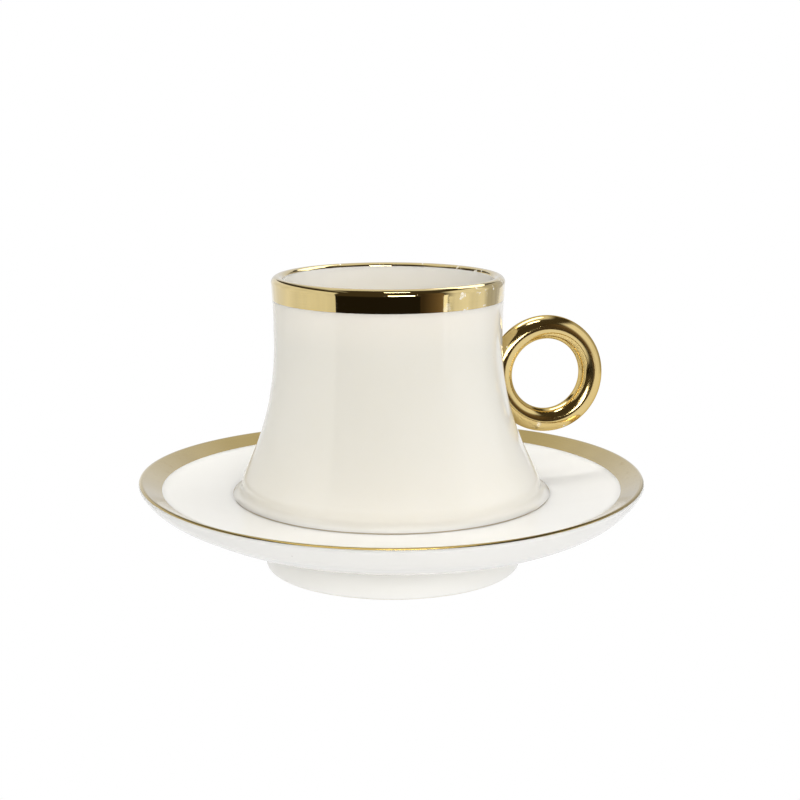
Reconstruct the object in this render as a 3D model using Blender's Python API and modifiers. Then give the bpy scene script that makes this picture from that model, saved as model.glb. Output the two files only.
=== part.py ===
"""Bell-shaped coffee cup with a ring handle, standing in the well of its saucer.

Glazed porcelain with gilded rims. Metres, +Z up. The origin is the middle of the
saucer's foot ring, on the table, and the handle points along +X.
"""

import math

import bmesh
import bpy

# Clearance between pieces that touch, thickness given to the fired gold, facets of a turn.
GAP = 0.0003
GOLD_THICKNESS = 0.0003
TURN_STEPS = 48

# Saucer: radii from the axis, heights above the table, angles in degrees.
SAUCER_RADIUS = 0.0625
SAUCER_RIM_TOP = 0.0224
SAUCER_LIP_ROUND = 0.0009
SAUCER_LIP_UNDERCUT = -33
SAUCER_BAND_SLOPE = 25
SAUCER_BAND_RADIUS = 0.0569
SAUCER_BAND_HEIGHT = 0.02015
SAUCER_GOLD_END = 38
KNEE_RADIUS = 0.0549
KNEE_HEIGHT = 0.0196
KNEE_ROUND = 0.007
WELL_RADIUS = 0.0393
WELL_EDGE_ROUND = 0.0005
WELL_FILLET = 0.0015
PLATEAU_HEIGHT = 0.0183
PLATEAU_DISH = 0.166
BOWL_RADIUS = 0.056
BOWL_HEIGHT = 0.01544
BOWL_SHOULDER_ROUND = 0.0157
BOWL_UNDERSIDE_ROUND = 0.062
CREASE_RADIUS = 0.0334
CREASE_HEIGHT = 0.0079
CREASE_ROUND = 0.0016
FOOT_TOP_RADIUS = 0.03195
FOOT_TOP_HEIGHT = 0.0063
FOOT_FLAT_OUTER = 0.0303
FOOT_FLAT_INNER = 0.0279
FOOT_OUTER_ROUND = 0.001
FOOT_INNER_ROUND = 0.0006
RECESS_RADIUS = 0.0266
RECESS_HEIGHT = 0.0096
RECESS_ROUND = 0.002

# Cup: radii from the axis, heights above the cup's own foot.
CUP_STAND_HEIGHT = 0.0144
CUP_RIM_RADIUS = 0.0285
CUP_RIM_TOP = 0.058
CUP_WALL = 0.003
CUP_BAND_BOTTOM = 0.0525
CUP_GOLD_BEGIN = 152
WAIST_RADIUS = 0.02804
WAIST_HEIGHT = 0.0421
BELL_SWEEP = 0.069
HEEL_HEIGHT = 0.0058
HEEL_SHOULDER = 0.006
HEEL_COVE = 0.0012
TOE_RADIUS = 0.039
TOE_ROUND = 0.0003
BASE_ROUND = 0.002
CUP_FLOOR_HEIGHT = 0.0045
CUP_FLOOR_ROUND = 0.005
CUP_FOOT_INNER = 0.030
CUP_FOOT_RECESS = 0.0012

# Ring handle: a plain torus that stands in the XZ plane and is let into the cup's wall.
HANDLE_REACH = 0.0406
HANDLE_HEIGHT = 0.0319
HANDLE_RING_RADIUS = 0.0119
HANDLE_TUBE_RADIUS = 0.00295
HANDLE_RING_SEGMENTS = 44
HANDLE_TUBE_SEGMENTS = 14

# Values that follow from the dimensions above.
GOLD_RECESS = GOLD_THICKNESS + GAP
WELL_FLOOR = CUP_STAND_HEIGHT - GAP
CUP_LIP_ROUND = CUP_WALL / 2
CUP_LIP_SPRING = CUP_RIM_TOP - CUP_LIP_ROUND
SHOULDER_RISE = CUP_LIP_SPRING - WAIST_HEIGHT
SHOULDER_FLARE = CUP_RIM_RADIUS - WAIST_RADIUS
SHOULDER_SWEEP = (SHOULDER_RISE**2 + SHOULDER_FLARE**2) / (2 * SHOULDER_FLARE)

IVORY_GLAZE = (0.82, 0.78, 0.69)
WHITE_GLAZE = (0.88, 0.87, 0.84)
BRIGHT_GOLD = (0.62, 0.44, 0.15)


def turn(centre, radius, first, last, steps):
    """Points on a circle from one angle to another, in degrees, with both ends."""
    points = []
    for step in range(steps + 1):
        angle = math.radians(first + (last - first) * step / steps)
        points.append((centre[0] + radius * math.cos(angle), centre[1] + radius * math.sin(angle)))
    return points


def arc(start, end, radius, steps):
    """Points on the arc from start to end, without start. It bends left if radius is positive."""
    side = math.copysign(1, radius)
    half_sweep = side * math.asin(min(1, math.dist(start, end) / abs(2 * radius)))
    heading = math.atan2(end[1] - start[1], end[0] - start[0]) - half_sweep
    centre = (start[0] - radius * math.sin(heading), start[1] + radius * math.cos(heading))
    first = math.degrees(heading) - side * 90
    return turn(centre, abs(radius), first, first + math.degrees(2 * half_sweep), steps)[1:]


def inset(path, depth):
    """The path moved to its right-hand side, which is into the clay."""
    moved = []
    for index, point in enumerate(path):
        before = path[max(index - 1, 0)]
        after = path[min(index + 1, len(path) - 1)]
        run = math.dist(before, after)
        right = ((after[1] - before[1]) / run, (before[0] - after[0]) / run)
        moved.append((point[0] + depth * right[0], point[1] + depth * right[1]))
    return moved


def bell_foot(sweep, floor, corner):
    """Where a corner arc leaves a level floor, and where it meets a bell wall of this sweep."""
    axis_to_centre = WAIST_RADIUS + BELL_SWEEP
    drop = WAIST_HEIGHT - floor - corner
    reach = math.sqrt((sweep + corner) ** 2 - drop**2)
    share = sweep / (sweep + corner)
    return (axis_to_centre - reach, floor), (axis_to_centre - reach * share, WAIST_HEIGHT - drop * share)


def wall_radius(height):
    """Outer radius of the cup's wall, above or below its waist."""
    rise = height - WAIST_HEIGHT
    sweep = SHOULDER_SWEEP if rise > 0 else BELL_SWEEP
    return WAIST_RADIUS + sweep - math.sqrt(sweep**2 - rise**2)


def saucer_gold(margin):
    """Finished surface of the saucer's gold: up the sloping band and round the lip."""
    centre = (SAUCER_RADIUS - SAUCER_LIP_ROUND, SAUCER_RIM_TOP - SAUCER_LIP_ROUND)
    slope = math.radians(SAUCER_BAND_SLOPE)
    inner_edge = (
        SAUCER_BAND_RADIUS + margin * math.cos(slope),
        SAUCER_BAND_HEIGHT + margin * math.sin(slope),
    )
    stop = SAUCER_GOLD_END + math.degrees(margin / SAUCER_LIP_ROUND)
    return [inner_edge] + turn(centre, SAUCER_LIP_ROUND, 90 + SAUCER_BAND_SLOPE, stop, 5)


def cup_gold(margin):
    """Finished surface of the cup's gold: over the lip and down to the band's lower edge."""
    centre = (CUP_RIM_RADIUS - CUP_LIP_ROUND, CUP_LIP_SPRING)
    begin = CUP_GOLD_BEGIN - math.degrees(margin / CUP_LIP_ROUND)
    lower_edge = CUP_BAND_BOTTOM + margin
    return turn(centre, CUP_LIP_ROUND, begin, 0, 8) + [(wall_radius(lower_edge), lower_edge)]


def saucer_profile():
    """From the middle of the well, over the top, round the rim and underneath to the axis."""
    lip_centre = (SAUCER_RADIUS - SAUCER_LIP_ROUND, SAUCER_RIM_TOP - SAUCER_LIP_ROUND)
    well_floor_edge = (WELL_RADIUS - WELL_FILLET, WELL_FLOOR)
    well_wall = (WELL_RADIUS, WELL_FLOOR + WELL_FILLET)
    well_top = (WELL_RADIUS, PLATEAU_HEIGHT - WELL_EDGE_ROUND)
    well_edge = (WELL_RADIUS + WELL_EDGE_ROUND, PLATEAU_HEIGHT)
    knee = (KNEE_RADIUS, KNEE_HEIGHT)
    band_edge = (SAUCER_BAND_RADIUS, SAUCER_BAND_HEIGHT)
    bowl = (BOWL_RADIUS, BOWL_HEIGHT)
    crease = (CREASE_RADIUS, CREASE_HEIGHT)
    foot_top = (FOOT_TOP_RADIUS, FOOT_TOP_HEIGHT)
    foot_corner = (FOOT_FLAT_OUTER + FOOT_OUTER_ROUND, FOOT_OUTER_ROUND)
    foot_inside = (FOOT_FLAT_INNER - FOOT_INNER_ROUND, FOOT_INNER_ROUND)
    recess_wall = (RECESS_RADIUS, RECESS_HEIGHT - RECESS_ROUND)
    recess_ceiling = (RECESS_RADIUS - RECESS_ROUND, RECESS_HEIGHT)

    path = [(0, WELL_FLOOR), well_floor_edge]
    path += arc(well_floor_edge, well_wall, WELL_FILLET, 3)
    path += [well_top]
    path += arc(well_top, well_edge, -WELL_EDGE_ROUND, 3)
    path += arc(well_edge, knee, PLATEAU_DISH, 3)
    path += arc(knee, band_edge, KNEE_ROUND, 2)
    path += inset(saucer_gold(0), GOLD_RECESS)
    path += turn(lip_centre, SAUCER_LIP_ROUND, SAUCER_GOLD_END, SAUCER_LIP_UNDERCUT, 4)
    path += arc(path[-1], bowl, -BOWL_SHOULDER_ROUND, 5)
    path += arc(bowl, crease, -BOWL_UNDERSIDE_ROUND, 4)
    path += arc(crease, foot_top, CREASE_ROUND, 3)
    path += [foot_corner]
    path += arc(foot_corner, (FOOT_FLAT_OUTER, 0), -FOOT_OUTER_ROUND, 3)
    path += [(FOOT_FLAT_INNER, 0)]
    path += arc((FOOT_FLAT_INNER, 0), foot_inside, -FOOT_INNER_ROUND, 2)
    path += [recess_wall]
    path += arc(recess_wall, recess_ceiling, RECESS_ROUND, 2)
    path += [(0, RECESS_HEIGHT)]
    return path


def cup_profile():
    """From the middle of the inside floor, over the lip and down the bell to the foot."""
    inner_sweep = BELL_SWEEP + CUP_WALL
    inner_floor, inner_wall = bell_foot(inner_sweep, CUP_FLOOR_HEIGHT, CUP_FLOOR_ROUND)
    shoulder, shoulder_wall = bell_foot(BELL_SWEEP, HEEL_HEIGHT - HEEL_SHOULDER, HEEL_SHOULDER)
    heel = (shoulder[0] + HEEL_SHOULDER, HEEL_HEIGHT)
    cove = (heel[0] + HEEL_COVE, HEEL_HEIGHT - HEEL_COVE)
    toe_top = (TOE_RADIUS - TOE_ROUND, cove[1])
    toe = (TOE_RADIUS, cove[1] - TOE_ROUND)
    toe_bottom = (TOE_RADIUS, BASE_ROUND)
    base = (TOE_RADIUS - BASE_ROUND, 0)
    lip_centre = (CUP_RIM_RADIUS - CUP_LIP_ROUND, CUP_LIP_SPRING)
    inner_waist = (WAIST_RADIUS - CUP_WALL, WAIST_HEIGHT)
    inner_spring = (CUP_RIM_RADIUS - CUP_WALL, CUP_LIP_SPRING)
    band_edge = (wall_radius(CUP_BAND_BOTTOM), CUP_BAND_BOTTOM)
    waist = (WAIST_RADIUS, WAIST_HEIGHT)

    path = [(0, CUP_FLOOR_HEIGHT), inner_floor]
    path += arc(inner_floor, inner_wall, CUP_FLOOR_ROUND, 5)
    path += arc(inner_wall, inner_waist, -inner_sweep, 6)
    path += arc(inner_waist, inner_spring, -(SHOULDER_SWEEP - CUP_WALL), 2)
    path += turn(lip_centre, CUP_LIP_ROUND, 180, CUP_GOLD_BEGIN, 2)[1:]
    path += inset(cup_gold(0), GOLD_RECESS)
    path += [band_edge]
    path += arc(band_edge, waist, SHOULDER_SWEEP, 2)
    path += arc(waist, shoulder_wall, BELL_SWEEP, 8)
    path += arc(shoulder_wall, heel, -HEEL_SHOULDER, 3)
    path += arc(heel, cove, HEEL_COVE, 3) + [toe_top]
    path += arc(toe_top, toe, -TOE_ROUND, 2) + [toe_bottom]
    path += arc(toe_bottom, base, -BASE_ROUND, 4)
    path += [(CUP_FOOT_INNER, 0)]
    path += [(CUP_FOOT_INNER - CUP_FOOT_RECESS, CUP_FOOT_RECESS)]
    path += [(0, CUP_FOOT_RECESS)]
    return path


def gilding_profile(surface):
    """Closed section of a gold band that lies flush in its recess."""
    return surface + inset(surface, GOLD_THICKNESS)[::-1]


def wall_cutter_profile():
    """Outside of the cup's wall, grown by the gap, over the height of the handle."""
    reach = HANDLE_RING_RADIUS + HANDLE_TUBE_RADIUS + GOLD_RECESS
    top = HANDLE_HEIGHT + reach
    bottom = HANDLE_HEIGHT - reach
    top_edge = (wall_radius(top) + GAP, top)
    waist = (WAIST_RADIUS + GAP, WAIST_HEIGHT)
    bottom_edge = (wall_radius(bottom) + GAP, bottom)
    path = [(0, top), top_edge]
    path += arc(top_edge, waist, SHOULDER_SWEEP, 2)
    path += arc(waist, bottom_edge, BELL_SWEEP, 7)
    return path + [(0, bottom)]


def finish(name, colour, roughness, metallic):
    """A Principled material for one sub-part."""
    material = bpy.data.materials.new(name)
    material.use_nodes = True
    shader = material.node_tree.nodes["Principled BSDF"]
    shader.inputs["Base Color"].default_value = (*colour, 1)
    shader.inputs["Roughness"].default_value = roughness
    shader.inputs["Metallic"].default_value = metallic
    return material


def turned(name, path, closed, collection, parent):
    """A profile in the XZ plane, turned about the Z axis of its parent."""
    mesh = bpy.data.meshes.new(name)
    outline = bmesh.new()
    points = [outline.verts.new((radius, 0, height)) for radius, height in path]
    for first, second in zip(points, points[1:]):
        outline.edges.new((first, second))
    if closed:
        outline.edges.new((points[-1], points[0]))
    outline.to_mesh(mesh)
    outline.free()
    piece = bpy.data.objects.new(name, mesh)
    collection.objects.link(piece)
    piece.parent = parent
    screw = piece.modifiers.new("turn", "SCREW")
    screw.axis = "Z"
    screw.steps = TURN_STEPS
    screw.render_steps = TURN_STEPS
    screw.use_merge_vertices = True
    screw.merge_threshold = 0.00001
    screw.use_smooth_shade = True
    return piece


def stand(name, height, collection):
    """An empty on the shared axis, which carries one loose piece of the set."""
    empty = bpy.data.objects.new(name, None)
    empty.location = (0, 0, height)
    collection.objects.link(empty)
    return empty


for old in list(bpy.data.objects):
    bpy.data.objects.remove(old, do_unlink=True)

parts = bpy.data.collections.new("cup_and_saucer")
cutters = bpy.data.collections.new("cutters")
bpy.context.scene.collection.children.link(parts)
bpy.context.scene.collection.children.link(cutters)

saucer_stand = stand("saucer_stand", 0, parts)
cup_stand = stand("cup_stand", CUP_STAND_HEIGHT, parts)

# Saucer: turned plate with a well for the cup, a thin lip and a foot ring.
saucer_body = turned("saucer_body", saucer_profile(), False, parts, saucer_stand)
saucer_body.data.materials.append(finish("white_glaze", WHITE_GLAZE, 0.12, 0))

# Gold on the saucer's sloping rim, wrapped round its lip.
saucer_rim = gilding_profile(saucer_gold(GAP))
saucer_rim_gilding = turned("saucer_rim_gilding", saucer_rim, True, parts, saucer_stand)
saucer_rim_gilding.data.materials.append(finish("saucer_gold", BRIGHT_GOLD, 0.3, 1))

# Cup: slip-cast bell of even wall, with a round lip and a low foot ring.
cup_body = turned("cup_body", cup_profile(), False, parts, cup_stand)
cup_body.data.materials.append(finish("ivory_glaze", IVORY_GLAZE, 0.12, 0))

# Gold on the cup's rim, from just inside the lip to a band on the outside.
cup_rim = gilding_profile(cup_gold(GAP))
cup_rim_gilding = turned("cup_rim_gilding", cup_rim, True, parts, cup_stand)
cup_rim_gilding.data.materials.append(finish("cup_gold", BRIGHT_GOLD, 0.1, 1))

# Handle: closed ring, mitred to the curve of the wall where it is stuck on.
wall_cutter = turned("wall_cutter", wall_cutter_profile(), False, cutters, cup_stand)
wall_cutter.hide_render = True
wall_cutter.display_type = "WIRE"

bpy.ops.mesh.primitive_torus_add(
    major_radius=HANDLE_RING_RADIUS,
    minor_radius=HANDLE_TUBE_RADIUS,
    major_segments=HANDLE_RING_SEGMENTS,
    minor_segments=HANDLE_TUBE_SEGMENTS,
    location=(HANDLE_REACH, 0, HANDLE_HEIGHT),
    rotation=(math.pi / 2, 0, 0),
)
handle_ring = bpy.context.object
handle_ring.name = "handle_ring"
handle_ring.data.name = "handle_ring"
handle_ring.parent = cup_stand
handle_ring.data.shade_smooth()
handle_ring.data.materials.append(finish("handle_gold", BRIGHT_GOLD, 0.08, 1))
for holder in list(handle_ring.users_collection):
    holder.objects.unlink(handle_ring)
parts.objects.link(handle_ring)
mitre = handle_ring.modifiers.new("mitre", "BOOLEAN")
mitre.operation = "DIFFERENCE"
mitre.solver = "EXACT"
mitre.object = wall_cutter
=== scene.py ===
import math

import bmesh
import bpy
from mathutils import Matrix, Vector


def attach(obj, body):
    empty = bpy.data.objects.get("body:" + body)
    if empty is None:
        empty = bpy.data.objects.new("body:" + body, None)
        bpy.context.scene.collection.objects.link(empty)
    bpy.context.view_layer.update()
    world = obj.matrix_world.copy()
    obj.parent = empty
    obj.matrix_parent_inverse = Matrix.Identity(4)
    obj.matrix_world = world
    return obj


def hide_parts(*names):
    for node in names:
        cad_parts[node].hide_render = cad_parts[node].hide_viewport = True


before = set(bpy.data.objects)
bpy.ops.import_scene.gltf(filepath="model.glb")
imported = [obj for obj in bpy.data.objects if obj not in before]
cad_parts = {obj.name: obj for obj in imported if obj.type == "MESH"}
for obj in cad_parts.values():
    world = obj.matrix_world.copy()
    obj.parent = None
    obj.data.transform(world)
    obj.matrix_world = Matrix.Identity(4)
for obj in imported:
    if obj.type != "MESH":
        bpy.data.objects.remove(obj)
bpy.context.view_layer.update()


# The camera looks a little down on the set, with the handle turned slightly away on the right.
# It is a 70 mm lens on a 36 mm frame, at the distance that gives the saucer's ellipses their shape.
LENS_MM = 70
FRAME_MM = 36
NEAREST_SEEN = 0.01
VIEW_TURN = math.radians(-13)
VIEW_PITCH = math.radians(11.57)
VIEW_DISTANCE = 0.3777
VIEW_HEIGHT = 0.1186
VIEW_SIDESTEP = 0.0021

view_right = Vector((math.cos(VIEW_TURN), math.sin(VIEW_TURN), 0))
view_away = Vector((-math.sin(VIEW_TURN), math.cos(VIEW_TURN), 0))


def stage_point(right, away, up):
    """The point that lies so far to the right, away and up from the middle of the saucer's foot."""
    return view_right * right + view_away * away + Vector((0, 0, up))


camera_data = bpy.data.cameras.new("camera")
camera_data.lens = LENS_MM
camera_data.sensor_width = FRAME_MM
camera_data.clip_start = NEAREST_SEEN
camera = bpy.data.objects.new("camera", camera_data)
camera.location = stage_point(VIEW_SIDESTEP, -VIEW_DISTANCE, VIEW_HEIGHT)
camera.rotation_euler = (math.pi / 2 - VIEW_PITCH, 0, VIEW_TURN)
bpy.context.scene.collection.objects.link(camera)
bpy.context.scene.camera = camera
bpy.context.scene.view_settings.view_transform = "Standard"


# Saucer: a white porcelain plate, pressed and fired in one piece under a glossy glaze.
# A round well holds the cup, the rim slopes up to a thin lip, and it stands on a foot ring
# whose flat is wiped clean of glaze before firing.
LATHE_STEPS = 192
MERGE_DISTANCE = 1e-7
SHARP_ANGLE = math.radians(50)

SAUCER_RADIUS = 0.0625
SAUCER_RIM_TOP = 0.0224
SAUCER_LIP = 0.0008
SAUCER_BAND_SLOPE = 25
LIP_UNDERCUT = -33
WELL_FLOOR = 0.0141
WELL_RADIUS = 0.0392
WELL_TOP = 0.0183
WELL_LIP = 0.0002
WELL_FILLET = 0.0015
DISH_SWEEP = 0.166
KNEE = (0.0549, 0.0196)
KNEE_SWEEP = 0.007
BAND_EDGE = (0.0569, 0.02015)
BOWL_SHOULDER = 0.0155
BOWL = (0.056, 0.01544)
BOWL_SWEEP = 0.062
CREASE = (0.0334, 0.0079)
CREASE_FILLET = 0.0016
FOOT_RADIUS = 0.0318
FOOT_TOP = 0.0063
FOOT_ROUND = 0.0008
FOOT_INNER = 0.0279
FOOT_INNER_ROUND = 0.0006
RECESS_WALL = (0.0266, 0.0076)
RECESS_FILLET = 0.002

# Extra rings on level stretches keep their shading flat.
WELL_RINGS = (0, 0.012, 0.024)
RECESS_RINGS = (0.012, 0)

# Firing left a slow wave in the rim, a sag in the underside and a foot that isn't quite central.
# WAVE_START, SAG_START and SAG_GROWTH are shares of the saucer's radius.
SAUCER_TILT = 0.0001
SAUCER_SADDLE = 0.0005
SAUCER_TWIST = 0.0007
WAVE_START = 0.67
SAG_RIGHT = 0.0011
SAG_LEFT = 0.00055
SAG_START = 0.54
SAG_GROWTH = 0.12
UNDERSIDE_NORMAL = -0.2
FOOT_SHIFT = 0.0003
FOOT_SHIFT_DEPTH = 0.003

WHITE = (1, 1, 1, 1)
SAUCER_WHITE = (0.853, 0.842, 0.805, 1)
SAUCER_WIPED_HEIGHT = 0.0004
WIPED_EDGE = 0.00005
IRON_BROWN = (0.16, 0.10, 0.05, 1)
CLAY_DARK = (0.70, 0.66, 0.58, 1)
CLAY_PALE = (0.82, 0.79, 0.72, 1)
CLAY_ROUGHNESS = 0.75
GLAZE_RELIEF = 0.05
GLAZE_DEPTH = 0.0004
GLAZE_IOR = 1.52
PORCELAIN_GLOW = 0.8
PORCELAIN_GLOW_DEPTH = 0.003


def turn(centre, radius, first, last, steps):
    """Points on a circle from one angle to another, in degrees, with both ends."""
    angles = [math.radians(first + (last - first) * step / steps) for step in range(steps + 1)]
    return [(centre[0] + radius * math.cos(a), centre[1] + radius * math.sin(a)) for a in angles]


def arc(start, end, radius, steps):
    """Points on the arc from start to end, without start. It bends left if radius is positive."""
    side = math.copysign(1, radius)
    half_sweep = side * math.asin(min(1, math.dist(start, end) / abs(2 * radius)))
    heading = math.atan2(end[1] - start[1], end[0] - start[0]) - half_sweep
    centre = (start[0] - radius * math.sin(heading), start[1] + radius * math.cos(heading))
    first = math.degrees(heading) - side * 90
    last = first + math.degrees(2 * half_sweep)
    return turn(centre, abs(radius), first, last, steps)[1:-1] + [end]


def finished_piece(name, shape):
    """A smooth object at the origin with the shape as its mesh."""
    mesh = bpy.data.meshes.new(name)
    shape.to_mesh(mesh)
    shape.free()
    mesh.shade_smooth()
    mesh.set_sharp_from_angle(angle=SHARP_ANGLE)
    piece = bpy.data.objects.new(name, mesh)
    bpy.context.scene.collection.objects.link(piece)
    return piece


def lathe(name, path, closed=False):
    """A profile of (radius, height) points spun about the Z axis."""
    shape = bmesh.new()
    profile = [shape.verts.new((radius, 0, height)) for radius, height in path]
    for first, second in zip(profile, profile[1:]):
        shape.edges.new((first, second))
    if closed:
        shape.edges.new((profile[-1], profile[0]))
    bmesh.ops.spin(
        shape, geom=shape.verts[:] + shape.edges[:], cent=(0, 0, 0), axis=(0, 0, 1),
        angle=2 * math.pi, steps=LATHE_STEPS, use_merge=True,
    )
    bmesh.ops.remove_doubles(shape, verts=shape.verts, dist=MERGE_DISTANCE)
    bmesh.ops.recalc_face_normals(shape, faces=shape.faces)
    return finished_piece(name, shape)


def sagged(piece):
    """The underside lower on the handle's side, and the foot moved a little towards it."""
    undersides = [point.normal.z < UNDERSIDE_NORMAL for point in piece.data.vertices]
    for point, underside in zip(piece.data.vertices, undersides):
        right = point.co.dot(view_right) / SAUCER_RADIUS
        reach = math.hypot(point.co.x, point.co.y) / SAUCER_RADIUS
        foot = min(1, max(0, (CREASE[1] + FOOT_SHIFT_DEPTH - point.co.z) / FOOT_SHIFT_DEPTH))
        if underside and reach > SAG_START:
            drop = right * (SAG_RIGHT if right > 0 else SAG_LEFT)
            point.co.z -= drop * min(1, (reach - SAG_START) / SAG_GROWTH, (1 - reach) / SAG_GROWTH)
        point.co += view_right * FOOT_SHIFT * foot
    return piece


def warped(piece):
    """The piece with the slow wave that firing gave the rim."""
    for point in piece.data.vertices:
        right = point.co.dot(view_right) / SAUCER_RADIUS
        away = point.co.dot(view_away) / SAUCER_RADIUS
        wave = SAUCER_SADDLE * (right**2 - away**2) + SAUCER_TWIST * right * max(0, away)
        wave -= SAUCER_TILT * right
        growth = (math.hypot(right, away) - WAVE_START) / (1 - WAVE_START)
        point.co.z += wave * min(1, max(0, growth))
    return piece


saucer_lip_centre = (SAUCER_RADIUS - SAUCER_LIP, SAUCER_RIM_TOP - SAUCER_LIP)
well_corner = (WELL_RADIUS - WELL_FILLET, WELL_FLOOR)
well_wall = (WELL_RADIUS, WELL_FLOOR + WELL_FILLET)
well_shoulder = (WELL_RADIUS, WELL_TOP - WELL_LIP)
well_edge = (WELL_RADIUS + WELL_LIP, WELL_TOP)
foot_top = (FOOT_RADIUS, FOOT_TOP)
foot_corner = (FOOT_RADIUS, FOOT_ROUND)
foot_flat_outer = (FOOT_RADIUS - FOOT_ROUND, 0)
foot_flat_inner = (FOOT_INNER, 0)
foot_inside = (FOOT_INNER - FOOT_INNER_ROUND, FOOT_INNER_ROUND)
recess_ceiling = (RECESS_WALL[0] - RECESS_FILLET, RECESS_WALL[1] + RECESS_FILLET)

saucer_path = [(radius, WELL_FLOOR) for radius in WELL_RINGS] + [well_corner]
saucer_path += arc(well_corner, well_wall, WELL_FILLET, 8)
saucer_path += [well_shoulder]
saucer_path += arc(well_shoulder, well_edge, -WELL_LIP, 6)
saucer_path += arc(well_edge, KNEE, DISH_SWEEP, 10)
saucer_path += arc(KNEE, BAND_EDGE, KNEE_SWEEP, 5)
saucer_path += turn(saucer_lip_centre, SAUCER_LIP, 90 + SAUCER_BAND_SLOPE, LIP_UNDERCUT, 18)
saucer_path += arc(saucer_path[-1], BOWL, -BOWL_SHOULDER, 12)
saucer_path += arc(BOWL, CREASE, -BOWL_SWEEP, 12)
saucer_path += arc(CREASE, foot_top, CREASE_FILLET, 8)
saucer_path += [foot_corner]
saucer_path += arc(foot_corner, foot_flat_outer, -FOOT_ROUND, 6)
saucer_path += [foot_flat_inner]
saucer_path += arc(foot_flat_inner, foot_inside, -FOOT_INNER_ROUND, 4)
saucer_path += [RECESS_WALL]
saucer_path += arc(RECESS_WALL, recess_ceiling, RECESS_FILLET, 6)
saucer_path += [(radius, recess_ceiling[1]) for radius in RECESS_RINGS]
saucer = warped(sagged(lathe("saucer_porcelain", saucer_path)))


def add(tree, kind, inputs=None, **settings):
    """A new node. Its inputs take values, or sockets to link from."""
    made = tree.nodes.new(kind)
    for name, value in settings.items():
        setattr(made, name, value)
    for name, value in (inputs or {}).items():
        if isinstance(value, bpy.types.NodeSocket):
            tree.links.new(value, made.inputs[name])
        else:
            made.inputs[name].default_value = value
    return made


def reckon(tree, operation, *values):
    """The result of a Math node."""
    return add(tree, "ShaderNodeMath", dict(enumerate(values)), operation=operation).outputs[0]


def blend_colour(tree, share, first, second):
    """The result of mixing two colours."""
    inputs = {0: share, 6: first, 7: second}
    return add(tree, "ShaderNodeMix", inputs, data_type="RGBA").outputs[2]


def spread(tree, value, low, high, to_low=0.0, to_high=1.0):
    """A value moved from one range to another, and held inside it."""
    inputs = {"Value": value, "From Min": low, "From Max": high, "To Min": to_low, "To Max": to_high}
    return add(tree, "ShaderNodeMapRange", inputs).outputs["Result"]


def noise(tree, where, scale, detail):
    """A cloudy value between 0 and 1."""
    inputs = {"Vector": where, "Scale": scale, "Detail": detail}
    return add(tree, "ShaderNodeTexNoise", inputs).outputs[0]


def rare_dots(tree, where, scale, rarity, edge, core):
    """A mask of round dots, in the few cells whose random number is above rarity."""
    cells = add(tree, "ShaderNodeTexVoronoi", {"Vector": where, "Scale": scale}).outputs
    chosen = add(tree, "ShaderNodeSeparateColor", {0: cells["Color"]}).outputs[0]
    rare = reckon(tree, "GREATER_THAN", chosen, rarity)
    return reckon(tree, "MULTIPLY", rare, spread(tree, cells["Distance"], edge, core))


def raise_surface(tree, shader, height, strength, depth):
    """Lets a height bump the shader's surface."""
    bump = add(tree, "ShaderNodeBump", {"Height": height, "Strength": strength, "Distance": depth})
    tree.links.new(bump.outputs[0], shader.inputs["Normal"])


def new_group(name, inputs, outputs):
    """An empty shader group with named sockets."""
    group = bpy.data.node_groups.new(name, "ShaderNodeTree")
    for label, kind in inputs:
        group.interface.new_socket(label, in_out="INPUT", socket_type=kind)
    for label, kind in outputs:
        group.interface.new_socket(label, in_out="OUTPUT", socket_type=kind)
    taken = group.nodes.new("NodeGroupInput").outputs
    given = group.nodes.new("NodeGroupOutput").inputs
    return group, taken, given


def fill_glaze(group, taken, given):
    """Fired glaze: faint clouds of colour, a few iron specks, a slow ripple and pinholes."""
    where = taken["Vector"]
    cloudy = spread(group, noise(group, where, scale=28, detail=3), 0.35, 0.65, 0.0, 0.08)
    colour = blend_colour(group, cloudy, taken["Body"], WHITE)
    speck = rare_dots(group, where, scale=240, rarity=0.965, edge=0.05, core=0.02)
    faint_speck = reckon(group, "MULTIPLY", speck, 0.5)
    group.links.new(blend_colour(group, faint_speck, colour, taken["Speck"]), given["Color"])
    film = spread(group, noise(group, where, scale=75, detail=2), 0.3, 0.7, 0.05, 0.10)
    group.links.new(film, given["Roughness"])
    ripple = noise(group, where, scale=120, detail=1)
    pinhole = reckon(group, "MULTIPLY", speck, -0.4)
    group.links.new(reckon(group, "ADD", ripple, pinhole), given["Height"])


COLOUR, VECTOR, NUMBER = "NodeSocketColor", "NodeSocketVector", "NodeSocketFloat"
glaze, glaze_in, glaze_out = new_group(
    "fired_glaze",
    [("Vector", VECTOR), ("Body", COLOUR), ("Speck", COLOUR)],
    [("Color", COLOUR), ("Roughness", NUMBER), ("Height", NUMBER)],
)
fill_glaze(glaze, glaze_in, glaze_out)


def new_material(name):
    """A material with its tree, its Principled shader and the piece's own coordinates."""
    material = bpy.data.materials.new(name)
    material.use_nodes = True
    tree = material.node_tree
    where = add(tree, "ShaderNodeTexCoord").outputs["Object"]
    return material, tree, tree.nodes["Principled BSDF"], where


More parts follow.
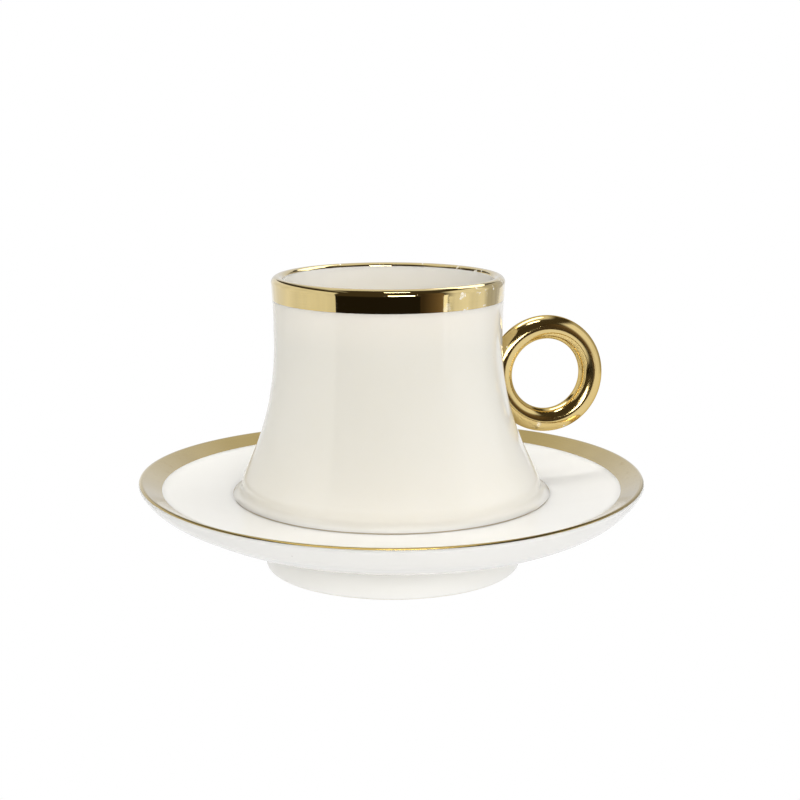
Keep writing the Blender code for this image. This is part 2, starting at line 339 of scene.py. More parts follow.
def porcelain(name, wiped_height):
    """Glazed porcelain, bare and chalky below the height where the foot is wiped.
    The colour of its body is left to be set."""
    material, tree, shader, where = new_material(name)
    surface = add(tree, "ShaderNodeGroup", node_tree=glaze)
    tree.links.new(where, surface.inputs["Vector"])
    surface.inputs["Speck"].default_value = IRON_BROWN
    height = add(tree, "ShaderNodeSeparateXYZ", {0: where}).outputs["Z"]
    bare = spread(tree, height, wiped_height + WIPED_EDGE, wiped_height)
    clay = blend_colour(tree, noise(tree, where, scale=2200, detail=2), CLAY_DARK, CLAY_PALE)
    colour = blend_colour(tree, bare, surface.outputs["Color"], clay)
    tree.links.new(colour, shader.inputs["Base Color"])
    rough = add(tree, "ShaderNodeMix", {0: bare, 2: surface.outputs["Roughness"], 3: CLAY_ROUGHNESS})
    tree.links.new(rough.outputs[0], shader.inputs["Roughness"])
    raise_surface(tree, shader, surface.outputs["Height"], GLAZE_RELIEF, GLAZE_DEPTH)
    shader.inputs["IOR"].default_value = GLAZE_IOR
    shader.inputs["Subsurface Weight"].default_value = PORCELAIN_GLOW
    shader.inputs["Subsurface Radius"].default_value = (1, 1, 1)
    shader.inputs["Subsurface Scale"].default_value = PORCELAIN_GLOW_DEPTH
    return material, tree, surface, height


white, _, white_surface, _ = porcelain("white_glaze", SAUCER_WIPED_HEIGHT)
white_surface.inputs["Body"].default_value = SAUCER_WHITE
saucer.data.materials.append(white)
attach(saucer, "saucer")
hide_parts("saucer_body")


# Gold on the saucer: liquid gold brushed on while the plate turns, then fired on over the glaze.
# It covers the sloping rim and wraps the lip. It is only a film, duller than the cup's gold,
# and spotty at its left and right ends, where a paler gold is painted on as a painted sheen.
GOLD_FILM = 0.00003
SAUCER_GOLD_END = 38

SAUCER_GOLD = (0.50, 0.365, 0.095, 1)
SAUCER_GOLD_DEEP = (0.45, 0.32, 0.075, 1)
# A paler gold, painted on at the band's ends as a painted sheen.
SAUCER_GOLD_SHEEN = (0.72, 0.58, 0.30, 1)
SAUCER_GOLD_SPOT = (0.50, 0.33, 0.07, 1)
STROKES_PER_METRE = 2600.0
STROKE_BREAKS = 1.6
GOLD_DEPTH = 0.0002
COAT_ROUGHNESS = 0.1

# Pits come in cells with a random number above the rarity, and no number is above 1.
NO_PITS = 2.0

# Two places on the rim each way: where the painted sheen and the spots start, and where they are full.
SHEEN_AND_SPOTS_OUTWARD = (0.02, 0.065)
SHEEN_AND_SPOTS_AWAY = (-0.02, 0.0)
SHEEN_AND_SPOTS_SLANT = -0.6
PAINTED_SHEEN_SHARE = 0.8
SPOT_SHARE = 0.6


def straight(start, end, steps):
    """Points on the line from start to end, with both ends."""
    shares = [step / steps for step in range(steps + 1)]
    return [
        (start[0] + (end[0] - start[0]) * share, start[1] + (end[1] - start[1]) * share)
        for share in shares
    ]


def beside(path, distance):
    """The path moved to its left-hand side, which is out of the clay."""
    moved = []
    for index, point in enumerate(path):
        before = path[max(index - 1, 0)]
        after = path[min(index + 1, len(path) - 1)]
        run = math.dist(before, after)
        left = ((before[1] - after[1]) / run, (after[0] - before[0]) / run)
        moved.append((point[0] + distance * left[0], point[1] + distance * left[1]))
    return moved


def gold_skin(name, surface):
    """A thin closed band that lies on the surface path and a little below it."""
    return lathe(name, beside(surface, GOLD_FILM) + beside(surface, -GOLD_FILM)[::-1], closed=True)


gilded_lip = turn(saucer_lip_centre, SAUCER_LIP, 90 + SAUCER_BAND_SLOPE, SAUCER_GOLD_END, 14)
saucer_gold_path = straight(BAND_EDGE, gilded_lip[0], 8) + gilded_lip[1:]
saucer_gold = warped(gold_skin("saucer_gold_band", saucer_gold_path))


def fill_gilding(group, taken, given):
    """Fired gold: strokes that run round the axis, slow waves and small pits."""
    where = taken["Vector"]
    parts = add(group, "ShaderNodeSeparateXYZ", {0: where}).outputs
    level = add(group, "ShaderNodeCombineXYZ", {0: parts["X"], 1: parts["Y"]}).outputs[0]
    radius = add(group, "ShaderNodeVectorMath", {0: level}, operation="LENGTH").outputs["Value"]
    aim = add(group, "ShaderNodeVectorMath", {0: level}, operation="NORMALIZE").outputs[0]
    aim_parts = add(group, "ShaderNodeSeparateXYZ", {0: aim}).outputs
    across = reckon(group, "MULTIPLY", reckon(group, "ADD", radius, parts["Z"]), STROKES_PER_METRE)
    round_x = reckon(group, "MULTIPLY", aim_parts["X"], STROKE_BREAKS)
    round_y = reckon(group, "MULTIPLY", aim_parts["Y"], STROKE_BREAKS)
    stroke_at = add(group, "ShaderNodeCombineXYZ", {0: round_x, 1: round_y, 2: across}).outputs[0]
    strokes = spread(group, noise(group, stroke_at, scale=1, detail=2), 0.3, 0.7)
    brushed = reckon(group, "MULTIPLY", strokes, taken["Brush"])
    patchy = spread(group, noise(group, where, scale=90, detail=3), 0.4, 0.7)
    tone = reckon(group, "MAXIMUM", brushed, reckon(group, "MULTIPLY", patchy, 0.5))
    group.links.new(blend_colour(group, tone, taken["Gold"], taken["Deep"]), given["Color"])
    pit = rare_dots(group, where, scale=900, rarity=taken["Pit Rarity"], edge=0.35, core=0.15)
    group.links.new(pit, given["Pit"])
    rough = reckon(group, "ADD", taken["Dullness"], reckon(group, "MULTIPLY", tone, 0.06))
    group.links.new(rough, given["Roughness"])
    wave = noise(group, where, scale=230, detail=1)
    raised = reckon(group, "ADD", wave, reckon(group, "MULTIPLY", brushed, 0.25))
    group.links.new(reckon(group, "SUBTRACT", raised, pit), given["Height"])


gilding, gilding_in, gilding_out = new_group(
    "fired_gold",
    [("Vector", VECTOR), ("Gold", COLOUR), ("Deep", COLOUR), ("Brush", NUMBER), ("Dullness", NUMBER),
     ("Pit Rarity", NUMBER)],
    [("Color", COLOUR), ("Roughness", NUMBER), ("Height", NUMBER), ("Pit", NUMBER)],
)
fill_gilding(gilding, gilding_in, gilding_out)


def fired_gold(name, gold, deep, brush, dullness, pit_rarity, relief, coat):
    """A film of gold over glaze. Its colour and the places where the gold is gone are left to be linked."""
    material, tree, shader, where = new_material(name)
    surface = add(tree, "ShaderNodeGroup", node_tree=gilding)
    tree.links.new(where, surface.inputs["Vector"])
    surface.inputs["Gold"].default_value = gold
    surface.inputs["Deep"].default_value = deep
    surface.inputs["Brush"].default_value = brush
    surface.inputs["Dullness"].default_value = dullness
    surface.inputs["Pit Rarity"].default_value = pit_rarity
    tree.links.new(surface.outputs["Roughness"], shader.inputs["Roughness"])
    raise_surface(tree, shader, surface.outputs["Height"], relief, GOLD_DEPTH)
    shader.inputs["Metallic"].default_value = 1
    shader.inputs["Coat Weight"].default_value = coat
    shader.inputs["Coat Roughness"].default_value = COAT_ROUGHNESS
    return material, tree, shader, surface, where


def along(tree, where, direction):
    """How far a place lies in a direction."""
    inputs = {0: where, 1: tuple(direction)}
    return add(tree, "ShaderNodeVectorMath", inputs, operation="DOT_PRODUCT").outputs["Value"]


dull_gold, dull_tree, dull_shader, dull_surface, dull_where = fired_gold(
    "saucer_gold", SAUCER_GOLD, SAUCER_GOLD_DEEP,
    brush=0.6, dullness=0.13, pit_rarity=NO_PITS, relief=0.06, coat=1.0,
)
from_front = along(dull_tree, dull_where, view_away)
from_middle = reckon(dull_tree, "ABSOLUTE", along(dull_tree, dull_where, view_right))
to_ends = reckon(dull_tree, "MULTIPLY_ADD", from_front, SHEEN_AND_SPOTS_SLANT, from_middle)
sheen_and_spot_ends = reckon(
    dull_tree, "MULTIPLY",
    spread(dull_tree, to_ends, *SHEEN_AND_SPOTS_OUTWARD), spread(dull_tree, from_front, *SHEEN_AND_SPOTS_AWAY),
)
# The paler gold at the ends is a painted sheen.
painted_sheen = reckon(dull_tree, "MULTIPLY", sheen_and_spot_ends, PAINTED_SHEEN_SHARE)
pale = blend_colour(dull_tree, painted_sheen, dull_surface.outputs["Color"], SAUCER_GOLD_SHEEN)
specks = spread(dull_tree, noise(dull_tree, dull_where, scale=620, detail=2), 0.62, 0.72)
speckled = reckon(dull_tree, "MULTIPLY", reckon(dull_tree, "MULTIPLY", specks, sheen_and_spot_ends), SPOT_SHARE)
spotted = blend_colour(dull_tree, speckled, pale, SAUCER_GOLD_SPOT)
dull_tree.links.new(spotted, dull_shader.inputs["Base Color"])
saucer_gold.data.materials.append(dull_gold)
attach(saucer_gold, "saucer")
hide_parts("saucer_rim_gilding")


# Cup: a slip-cast porcelain bell under an ivory glaze, with an even wall and a round lip.
# It narrows to a waist below the rim and sweeps out to a wide base, which ends in a thin skirt
# over the well's edge and rounds under to a low foot.
CUP_STAND = 0.0144
CUP_RIM_RADIUS = 0.0285
CUP_RIM_TOP = CUP_STAND + 0.058
CUP_WALL = 0.003
CUP_BAND_BOTTOM = CUP_STAND + 0.0525
WAIST_RADIUS = 0.02804
WAIST_HEIGHT = CUP_STAND + 0.0421
BELL_SWEEP = 0.069
HEEL_HEIGHT = CUP_STAND + 0.0062
HEEL_SHOULDER = 0.006
HEEL_COVE = 0.0018
SKIRT_SLOPE = math.radians(25)
SKIRT_RADIUS = 0.0395
SKIRT_BOTTOM = CUP_STAND + 0.00395
BASE_RADIUS = 0.039
BASE_ROUND = 0.002
CUP_FLOOR = CUP_STAND + 0.0045
CUP_FLOOR_ROUND = 0.005
CUP_FLOOR_RINGS = (0, 0.010, 0.019)
CUP_FOOT_INNER = 0.030
CUP_FOOT_RECESS = 0.0012

# Firing bent the cup a little aside and lifted its skirt at two places, so many degrees from the front.
CUP_LEAN = 0.0008
CUP_LEAN_START = CUP_STAND + 0.004
CUP_LEAN_RISE = 0.04
SKIRT_LIFT = 0.0003
SKIRT_LIFT_AT = 72
SKIRT_LIFT_SPAN = 11

# The ivory is painted by height: warmer towards the base as painted shade, and lighter towards the rim. Its
# places on the wall are shares of the cup's height.
IVORY_SHADED_BASE = (0.79, 0.762, 0.695, 1)
IVORY = (0.78, 0.763, 0.705, 1)
IVORY_RIM = (0.83, 0.80, 0.735, 1)
IVORY_PLACES = (0.38, 0.74)
IVORY_RIM_PLACE = 0.88
# A thin tan line low on the skirt, where it meets the saucer, is painted shade.
CONTACT_SHADE_TAN = (0.60, 0.46, 0.27, 1)
CONTACT_SHADE_HEIGHT = SKIRT_BOTTOM - 0.0003
CONTACT_SHADE_HALF_WIDTH = 0.00044
CUP_WIPED_HEIGHT = CUP_STAND + 0.0001

cup_lip = CUP_WALL / 2
cup_spring = CUP_RIM_TOP - cup_lip
cup_lip_centre = (CUP_RIM_RADIUS - cup_lip, cup_spring)
flare_rise = cup_spring - WAIST_HEIGHT
flare_reach = CUP_RIM_RADIUS - WAIST_RADIUS
flare_sweep = (flare_rise**2 + flare_reach**2) / (2 * flare_reach)


def bell_foot(sweep, floor, corner):
    """Where a corner arc leaves a level floor, and where it meets a bell wall of this sweep."""
    axis_to_centre = WAIST_RADIUS + BELL_SWEEP
    drop = WAIST_HEIGHT - floor - corner
    reach = math.sqrt((sweep + corner) ** 2 - drop**2)
    share = sweep / (sweep + corner)
    return (axis_to_centre - reach, floor), (axis_to_centre - reach * share, WAIST_HEIGHT - drop * share)


def wall_radius(height):
    """Outer radius of the cup's wall, above or below its waist."""
    rise = height - WAIST_HEIGHT
    sweep = flare_sweep if rise > 0 else BELL_SWEEP
    return WAIST_RADIUS + sweep - math.sqrt(sweep**2 - rise**2)


def leaned(piece):
    """The piece bent aside as the cup leans, away from the handle."""
    for point in piece.data.vertices:
        share = min(1, max(0, (point.co.z - CUP_LEAN_START) / CUP_LEAN_RISE))
        point.co -= view_right * CUP_LEAN * math.sin(share * math.pi / 2)
    return piece


def lifted(piece):
    """The skirt raised off the saucer at two places beside the front."""
    for point in piece.data.vertices:
        right = point.co.dot(view_right)
        away = point.co.dot(view_away)
        edge = (math.hypot(right, away) - BASE_RADIUS) / (SKIRT_RADIUS - BASE_RADIUS)
        if edge > 0 and point.co.z > CUP_STAND + BASE_ROUND:
            off = (abs(math.degrees(math.atan2(right, -away))) - SKIRT_LIFT_AT) / SKIRT_LIFT_SPAN
            point.co.z += SKIRT_LIFT * min(1, edge) * math.exp(-off * off)
    return piece


inner_sweep = BELL_SWEEP + CUP_WALL
inner_floor, inner_wall = bell_foot(inner_sweep, CUP_FLOOR, CUP_FLOOR_ROUND)
inner_waist = (WAIST_RADIUS - CUP_WALL, WAIST_HEIGHT)
inner_spring = (CUP_RIM_RADIUS - CUP_WALL, cup_spring)
outer_spring = (CUP_RIM_RADIUS, cup_spring)
waist = (WAIST_RADIUS, WAIST_HEIGHT)
shoulder, shoulder_wall = bell_foot(BELL_SWEEP, HEEL_HEIGHT - HEEL_SHOULDER, HEEL_SHOULDER)
heel = (shoulder[0] + HEEL_SHOULDER, HEEL_HEIGHT)
cove_reach = HEEL_COVE * (1 - math.sin(SKIRT_SLOPE))
cove_drop = HEEL_COVE * math.cos(SKIRT_SLOPE)
cove = (heel[0] + cove_reach, HEEL_HEIGHT - cove_drop)
skirt_edge = (SKIRT_RADIUS, cove[1] - (SKIRT_RADIUS - cove[0]) * math.tan(SKIRT_SLOPE))
base_wall = (BASE_RADIUS, CUP_STAND + BASE_ROUND)
base = (BASE_RADIUS - BASE_ROUND, CUP_STAND)
cup_foot = (CUP_FOOT_INNER, CUP_STAND)
cup_recess = (CUP_FOOT_INNER - CUP_FOOT_RECESS, CUP_STAND + CUP_FOOT_RECESS)

cup_path = [(radius, CUP_FLOOR) for radius in CUP_FLOOR_RINGS] + [inner_floor]
cup_path += arc(inner_floor, inner_wall, CUP_FLOOR_ROUND, 14)
cup_path += arc(inner_wall, inner_waist, -inner_sweep, 18)
cup_path += arc(inner_waist, inner_spring, -(flare_sweep - CUP_WALL), 6)
cup_path += turn(cup_lip_centre, cup_lip, 180, 0, 20)[1:]
cup_path += arc(outer_spring, waist, flare_sweep, 8)
cup_path += arc(waist, shoulder_wall, BELL_SWEEP, 24)
cup_path += arc(shoulder_wall, heel, -HEEL_SHOULDER, 10)
cup_path += arc(heel, cove, HEEL_COVE, 8)
cup_path += [skirt_edge, (SKIRT_RADIUS, SKIRT_BOTTOM), (BASE_RADIUS, SKIRT_BOTTOM), base_wall]
cup_path += arc(base_wall, base, -BASE_ROUND, 8)
cup_path += [cup_foot]
cup_path += arc(cup_foot, cup_recess, -CUP_FOOT_RECESS, 5)
cup_path += [(radius, cup_recess[1]) for radius in RECESS_RINGS]
cup = leaned(lifted(lathe("cup_porcelain", cup_path)))

ivory, ivory_tree, ivory_surface, ivory_height = porcelain("ivory_glaze", CUP_WIPED_HEIGHT)
# The wall is painted warmer towards the base as painted shade, and lighter towards the rim.
risen = spread(ivory_tree, ivory_height, CUP_STAND, CUP_RIM_TOP)
painted_height_shading = add(ivory_tree, "ShaderNodeValToRGB", {0: risen})
tones = painted_height_shading.color_ramp.elements
tones[0].color = IVORY_SHADED_BASE
tones[1].color = IVORY_RIM
tones[1].position = IVORY_RIM_PLACE
for place in IVORY_PLACES:
    tones.new(place).color = IVORY
# Paints the tan shade line where the skirt meets the saucer.
contact_shade = reckon(ivory_tree, "COMPARE", ivory_height, CONTACT_SHADE_HEIGHT, CONTACT_SHADE_HALF_WIDTH)
contact_shaded = blend_colour(ivory_tree, contact_shade, painted_height_shading.outputs[0], CONTACT_SHADE_TAN)
ivory_tree.links.new(contact_shaded, ivory_surface.inputs["Body"])
cup.data.materials.append(ivory)
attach(cup, "cup")
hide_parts("cup_body")


# Gold on the cup: bright fired gold over the whole lip and in a band below it.
# It is lined on a turntable over the glaze, and the glaze shows in its pits; pale patches on its right are
# painted highlights.
CUP_GOLD_INNER_END = 152
CUP_GOLD = (0.78, 0.62, 0.29, 1)
CUP_GOLD_DEEP = (0.71, 0.55, 0.23, 1)
BARE_GLAZE_AND_GLINT = (0.84, 0.82, 0.76, 1)
# Where on the band's right the painted highlights lie.
PAINTED_GLINTS_RIGHT = (0.010, 0.018)

band_bottom = (wall_radius(CUP_BAND_BOTTOM), CUP_BAND_BOTTOM)
cup_gold_path = turn(cup_lip_centre, cup_lip, CUP_GOLD_INNER_END, 0, 22)
cup_gold_path += arc(outer_spring, band_bottom, flare_sweep, 10)
cup_gold = leaned(gold_skin("cup_gold_band", cup_gold_path))


def wear_and_glints(tree, shader, surface, mask):
    """Shows the glaze colour in the gold's pits and over the mask: gold that is gone on the handle, painted
    highlights on the cup's band.
    """
    gone = reckon(tree, "MAXIMUM", mask, surface.outputs["Pit"])
    colour = blend_colour(tree, gone, surface.outputs["Color"], BARE_GLAZE_AND_GLINT)
    tree.links.new(colour, shader.inputs["Base Color"])
    tree.links.new(reckon(tree, "SUBTRACT", 1.0, gone), shader.inputs["Metallic"])


band_gold, band_tree, band_shader, band_surface, band_where = fired_gold(
    "cup_gold", CUP_GOLD, CUP_GOLD_DEEP,
    brush=0.35, dullness=0.03, pit_rarity=0.992, relief=0.06, coat=0.8,
)
# Pale glaze-coloured patches on the band's right are painted highlights.
painted_glints = spread(band_tree, noise(band_tree, band_where, scale=420, detail=3), 0.60, 0.66, 0.0, 0.85)
glint_side = spread(band_tree, along(band_tree, band_where, view_right), *PAINTED_GLINTS_RIGHT)
wear_and_glints(band_tree, band_shader, band_surface, reckon(band_tree, "MULTIPLY", painted_glints, glint_side))
cup_gold.data.materials.append(band_gold)
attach(cup_gold, "cup")
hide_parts("cup_rim_gilding")


# Handle: a plain porcelain ring, cast apart, stuck to the wall with slip and gilded all over.
# Its inner side is let into the wall, so the ring meets the bell without a shoulder.
# A small flake of the gold is gone at its lower left.
HANDLE_REACH = 0.0406
HANDLE_HEIGHT = CUP_STAND + 0.0319
HANDLE_RING = 0.0119
HANDLE_RING_STEPS = 288
HANDLE_TUBE = 0.00295
HANDLE_TUBE_STEPS = 80
HANDLE_ROOT = 0.001

HANDLE_GOLD = (0.80, 0.62, 0.28, 1)
HANDLE_GOLD_DEEP = (0.75, 0.55, 0.21, 1)
HANDLE_GOLD_EDGE = (0.62, 0.50, 0.28, 1)
FLAKE_AT = (0.0374, -0.0027, 0.0338)
FLAKE_RADIUS = 0.0009
FLAKE_CORE = 0.0002

ring = bmesh.new()
bmesh.ops.create_circle(
    ring, segments=HANDLE_TUBE_STEPS, radius=HANDLE_TUBE,
    matrix=Matrix.Translation((HANDLE_REACH + HANDLE_RING, 0, HANDLE_HEIGHT)),
)
bmesh.ops.spin(
    ring, geom=ring.verts[:] + ring.edges[:], cent=(HANDLE_REACH, 0, HANDLE_HEIGHT), axis=(0, 1, 0),
    angle=2 * math.pi, steps=HANDLE_RING_STEPS, use_merge=True,
)
bmesh.ops.remove_doubles(ring, verts=ring.verts, dist=MERGE_DISTANCE)
for point in ring.verts:
    radius = math.hypot(point.co.x, point.co.y)
    deepest = wall_radius(point.co.z) - HANDLE_ROOT
    if radius < deepest:
        point.co.x *= deepest / radius
        point.co.y *= deepest / radius
bmesh.ops.recalc_face_normals(ring, faces=ring.faces)
handle = leaned(finished_piece("gilded_ring_handle", ring))

ring_gold, ring_tree, ring_shader, ring_surface, ring_where = fired_gold(
    "handle_gold", HANDLE_GOLD, HANDLE_GOLD_DEEP,
    brush=0.0, dullness=0.10, pit_rarity=0.995, relief=0.014, coat=0.0,
)
ring_shader.inputs["Specular Tint"].default_value = HANDLE_GOLD_EDGE
from_flake = add(ring_tree, "ShaderNodeVectorMath", {0: ring_where, 1: FLAKE_AT}, operation="DISTANCE")
flaked = spread(ring_tree, from_flake.outputs["Value"], FLAKE_RADIUS, FLAKE_CORE, 0.0, 0.7)
ragged = spread(ring_tree, noise(ring_tree, ring_where, scale=1600, detail=2), 0.4, 0.55)
wear_and_glints(ring_tree, ring_shader, ring_surface, reckon(ring_tree, "MULTIPLY", flaked, ragged))
handle.data.materials.append(ring_gold)
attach(handle, "cup")
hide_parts("handle_ring")


# Table: a plain white sheet that glows; the view sees it white, and its glow round the saucer's foot is
# dimmed as a painted shadow.
# It ends in front of the set, so the gold has something dark to mirror there.
TENT_LEFT = -0.21
TENT_RIGHT = 0.28
TENT_BACK = 0.60
TABLE_FRONT = -0.16
TABLE_GLOW = 0.92
TABLE_SHADE = 0.82
SHADE_INNER = 0.03
SHADE_OUTER = 0.05
TABLE_EDGE_SLANT = 0.45
TABLE_SHOWN = (-0.115, -0.075)


def panel(name, low, high, strength, folds=0.0, colour=WHITE, seen=False):
    """A flat stage panel that glows, between two opposite corners given as right, away and up.
    Folds make its glow uneven."""
    wide, deep, tall = (end - start for start, end in zip(low, high))
    edges = (stage_point(wide, 0, 0), stage_point(0, deep, 0), stage_point(0, 0, tall))
    first, second = [edge for edge in edges if edge.length > 0]
    placing = Matrix((first, second, first.cross(second))).transposed().to_4x4()
    placing.translation = (stage_point(*low) + stage_point(*high)) / 2
    shape = bmesh.new()
    bmesh.ops.create_grid(shape, x_segments=1, y_segments=1, size=0.5, matrix=placing)
    piece = finished_piece(name, shape)
    piece.visible_camera = seen
    material = bpy.data.materials.new(name)
    material.use_nodes = True
    tree = material.node_tree
    tree.nodes.clear()
    glow = add(tree, "ShaderNodeEmission", {"Color": colour, "Strength": strength}, name="glow")
    add(tree, "ShaderNodeOutputMaterial", {"Surface": glow.outputs[0]}, name="out")
    where = add(tree, "ShaderNodeTexCoord").outputs["Object"]
    if folds:
        cloth = noise(tree, where, scale=14, detail=3)
        uneven = spread(tree, cloth, 0.3, 0.7, strength * (1 - folds), strength * (1 + folds))
        tree.links.new(uneven, glow.inputs["Strength"])
    piece.data.materials.append(material)
    return tree, where


def open_in_gloss(tree, shown):
    """Lets mirrored rays through the panel where it isn't shown, so the gold sees the dim room."""
    mirrored = add(tree, "ShaderNodeLightPath").outputs["Is Glossy Ray"]
    hidden = reckon(tree, "MULTIPLY", mirrored, reckon(tree, "SUBTRACT", 1.0, shown))
    clear = add(tree, "ShaderNodeBsdfTransparent").outputs[0]
    either = add(tree, "ShaderNodeMixShader", {0: hidden, 1: tree.nodes["glow"].outputs[0], 2: clear})
    tree.links.new(either.outputs[0], tree.nodes["out"].inputs["Surface"])


floor_tree, floor_at = panel(
    "floor", (TENT_LEFT, TABLE_FRONT, 0), (TENT_RIGHT, TENT_BACK, 0), TABLE_GLOW, seen=True)
from_axis = add(floor_tree, "ShaderNodeVectorMath", {0: floor_at}, operation="LENGTH").outputs["Value"]
# The dimmer glow round the saucer's foot is a painted shadow under the saucer.
shaded = spread(floor_tree, from_axis, SHADE_INNER, SHADE_OUTER, TABLE_SHADE, TABLE_GLOW)
in_view = add(floor_tree, "ShaderNodeLightPath").outputs["Is Camera Ray"]
floor_glow = spread(floor_tree, in_view, 0, 1, shaded, 1.0)
floor_tree.links.new(floor_glow, floor_tree.nodes["glow"].inputs["Strength"])
table_edge = along(floor_tree, floor_at, view_away + view_right * TABLE_EDGE_SLANT)
open_in_gloss(floor_tree, spread(floor_tree, table_edge, *TABLE_SHOWN))


# Light: a white tent round the table, open and dark at the front, with lamps above and in front.
# The tent's walls only light the set and show in its gloss, and the view looks through them.
# Some lamps are seen by single pieces of gold alone, as bright strips that they mirror.
TENT_FRONT = -0.18
TENT_HEM = -0.04
TENT_TOP = 0.42
LEFT_WALL_TOP = 0.22
LEFT_STRIP_BOTTOM = 0.34
RIGHT_WALL_FRONT = -0.225
ROOF_FRONT = -0.165
HEM_STRIP = TENT_RIGHT - 0.001
HEM_STRIP_FRONT = -0.205
HEM_STRIP_BACK = -0.175
HEM_STRIP_TOP = 0.03
WARM_WHITE = (1, 0.99, 0.95, 1)
ROOM_LEFT = 0.27
ROOM_RIGHT = 0.64
ROOM_FRONT = -0.45
ROOM_BOTTOM = -0.3
ROOM_TOP = 0.4
ROOM_BROWN = (1.0, 0.68, 0.36, 1)
ROOM_GLOW = 0.217
ROOM_DIM = 0.045
ROOM_FADE = (0.30, 0.63)

# Two places on a panel: where it starts to show in the gloss, and where it shows in full.
RIGHT_SHOWN_AWAY = (-0.20, -0.12)
RIGHT_SHOWN_UP = (0.34, 0.27)
RIGHT_SHOWN_NEAR = (0.11, 0.07)
RIGHT_SHOWN_FAR_SHARE = 0.55
ROOF_SHOWN_AWAY = (0.0, 0.04)
ROOF_SHOWN_RIGHT = (0.20, 0.12)

panel(
    "tent_left", (TENT_LEFT, TENT_FRONT, TENT_HEM), (TENT_LEFT, TENT_BACK, LEFT_WALL_TOP),
    0.85, 0.10, WARM_WHITE)
panel(
    "tent_left_top", (TENT_LEFT, TENT_FRONT, LEFT_STRIP_BOTTOM), (TENT_LEFT, TENT_BACK, TENT_TOP),
    0.33, 0.10, WARM_WHITE)
panel(
    "tent_hem", (HEM_STRIP, HEM_STRIP_FRONT, TENT_HEM), (HEM_STRIP, HEM_STRIP_BACK, HEM_STRIP_TOP), 1.25)
panel("tent_back", (TENT_LEFT, TENT_BACK, 0), (TENT_RIGHT, TENT_BACK, TENT_TOP), 0.74, 0.05)

right_tree, right_at = panel(
    "tent_right", (TENT_RIGHT, RIGHT_WALL_FRONT, TENT_HEM), (TENT_RIGHT, TENT_BACK, TENT_TOP), 0.90, 0.15)
right_away = along(right_tree, right_at, view_away)
right_up = along(right_tree, right_at, (0, 0, 1))
right_shown = reckon(
    right_tree, "MULTIPLY",
    spread(right_tree, right_away, *RIGHT_SHOWN_AWAY), spread(right_tree, right_up, *RIGHT_SHOWN_UP))
right_near = spread(right_tree, right_away, *RIGHT_SHOWN_NEAR, RIGHT_SHOWN_FAR_SHARE, 1.0)
open_in_gloss(right_tree, reckon(right_tree, "MULTIPLY", right_shown, right_near))

roof_tree, roof_at = panel(
    "tent_roof", (TENT_LEFT, ROOF_FRONT, TENT_TOP), (TENT_RIGHT, TENT_BACK, TENT_TOP), 0.80, 0.12)
roof_shown = reckon(
    roof_tree, "MULTIPLY",
    spread(roof_tree, along(roof_tree, roof_at, view_away), *ROOF_SHOWN_AWAY),
    spread(roof_tree, along(roof_tree, roof_at, view_right), *ROOF_SHOWN_RIGHT))
open_in_gloss(roof_tree, roof_shown)

room_tree, room_at = panel(
    "room_right", (ROOM_LEFT, ROOM_FRONT, ROOM_BOTTOM), (ROOM_RIGHT, ROOM_FRONT, ROOM_TOP),
    ROOM_GLOW, colour=ROOM_BROWN)
room_right = along(room_tree, room_at, view_right)
room_fade = spread(room_tree, room_right, *ROOM_FADE, ROOM_DIM, ROOM_GLOW)
room_tree.links.new(room_fade, room_tree.nodes["glow"].inputs["Strength"])

BULB_PLACES = ((-0.038, 0.268), (0.023, 0.249), (0.115, 0.269), (0.326, 0.269))
BULB_SIZE = (0.006, 0.006)
BULB_POWER = 0.0015


def lamp(name, place, aim, size, power, in_gloss=True, in_diffuse=True, echoes=True, lights=None):
    """A rectangular soft lamp at (right, away, up), turned to look at another such point.
    It can be kept out of mirrored or scattered light, out of later bounces, and off other pieces."""
    data = bpy.data.lights.new(name, "AREA")
    data.shape = "RECTANGLE"
    data.size, data.size_y = size
    data.energy = power
    light = bpy.data.objects.new(name, data)
    light.location = stage_point(*place)
    light.rotation_euler = (stage_point(*aim) - stage_point(*place)).to_track_quat("-Z", "Y").to_euler()
    light.visible_camera = False
    light.visible_glossy = in_gloss
    light.visible_diffuse = in_diffuse
    if not echoes:
        data.cycles.max_bounces = 0
    if lights:
        lit = bpy.data.collections.new(name)
        for piece in lights:
            lit.objects.link(piece)
        light.light_linking.receiver_collection = lit
    bpy.context.scene.collection.objects.link(light)


def mirrored_lamp(name, place, aim, size, power, lights=None):
    """A lamp that is only seen mirrored, in the pieces that it lights."""
    lamp(name, place, aim, size, power, in_diffuse=False, echoes=False, lights=lights)


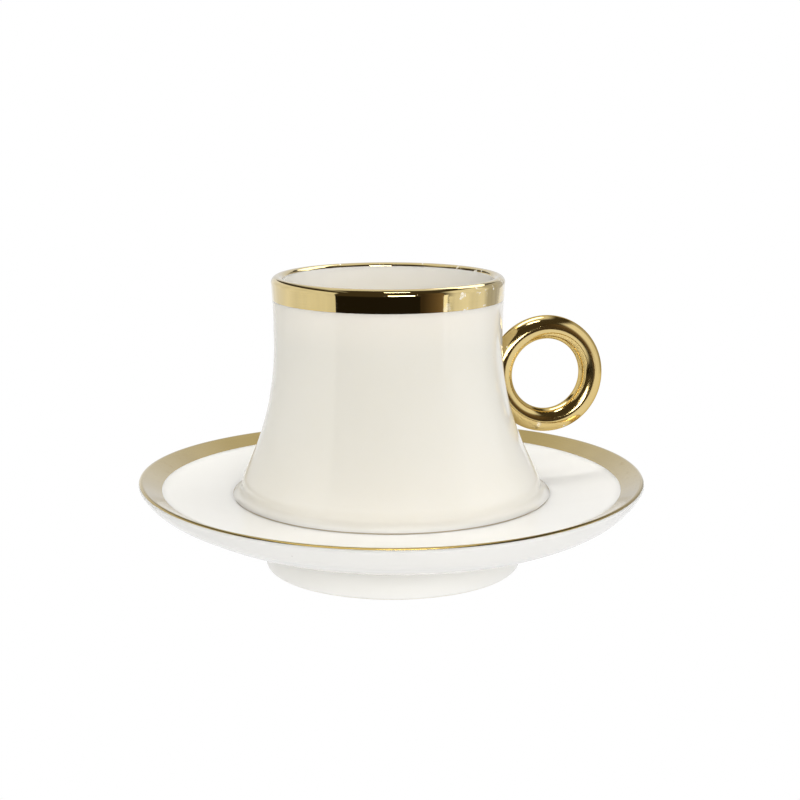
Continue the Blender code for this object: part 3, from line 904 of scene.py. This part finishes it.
lamp("roof_bar", (0, 0.03, 0.40), (0, 0, 0), (0.40, 0.02), 0.52, in_gloss=False)
mirrored_lamp("roof_spark", (0, 0.03, 0.40), (0, 0, 0), (0.09, 0.02), 0.12)
lamp("front_bar", (0.04, -0.17, 0.40), (0, 0, 0.03), (0.12, 0.015), 0.11,
     lights=(cup, cup_gold, saucer, saucer_gold))
lamp("front_fill", (0, -0.5, 0.35), (0, 0, 0.04), (0.6, 0.3), 1.1, in_gloss=False)
lamp("front_low", (0.08, -0.5, 0.17), (0, 0, 0.04), (0.5, 0.14), 1.25, in_gloss=False)
lamp("glint", (0.10, -0.44, 0.09), (0.02, 0, 0.06), (0.20, 0.07), 0.45, echoes=False,
     lights=(handle, cup_gold))
for right, up in BULB_PLACES:
    mirrored_lamp("bulb", (right, -0.6, up), (0, 0, 0.035), BULB_SIZE, BULB_POWER)
mirrored_lamp("ridge", (-0.03, 0.17, 0.40), (0.04, 0, 0.05), (0.24, 0.12), 0.42, [handle])
mirrored_lamp("gap", (0.04, -0.06, 0.40), (0.04, 0, 0.05), (0.10, 0.05), 0.14, [handle])
mirrored_lamp("window", (0.0, -0.44, 0.13), (0.04, 0, 0.05), (0.10, 0.13), 0.08, [handle])
mirrored_lamp("lip_bar", (0.20, 0.22, 0.36), (0.02, 0, 0.07), (0.25, 0.16), 0.31, [cup_gold])
mirrored_lamp("edge_bar", (-0.04, -0.12, 0.40), (-0.04, -0.119, 0), (0.36, 0.34), 0.42, [saucer_gold])

# Beyond the tent the room is dim and brown, and darkest below the table. The view sees it white.
ROOM_TINT = (1.0, 0.77, 0.45, 1)
ROOM_BELOW = 0.014
ROOM_ABOVE = 0.056
ROOM_HORIZON = (-0.19, -0.10)

world = bpy.data.worlds.new("room")
bpy.context.scene.world = world
world.use_nodes = True
room = world.node_tree
room.nodes.clear()
looking = add(room, "ShaderNodeTexCoord").outputs["Generated"]
looking_up = add(room, "ShaderNodeSeparateXYZ", {0: looking}).outputs["Z"]
dim = spread(room, looking_up, *ROOM_HORIZON, ROOM_BELOW, ROOM_ABOVE)
dark = add(room, "ShaderNodeBackground", {"Color": ROOM_TINT, "Strength": dim}).outputs[0]
bright = add(room, "ShaderNodeBackground", {"Color": WHITE, "Strength": 1.0}).outputs[0]
in_view = add(room, "ShaderNodeLightPath").outputs["Is Camera Ray"]
either = add(room, "ShaderNodeMixShader", {0: in_view, 1: dark, 2: bright})
add(room, "ShaderNodeOutputWorld", {"Surface": either.outputs[0]})
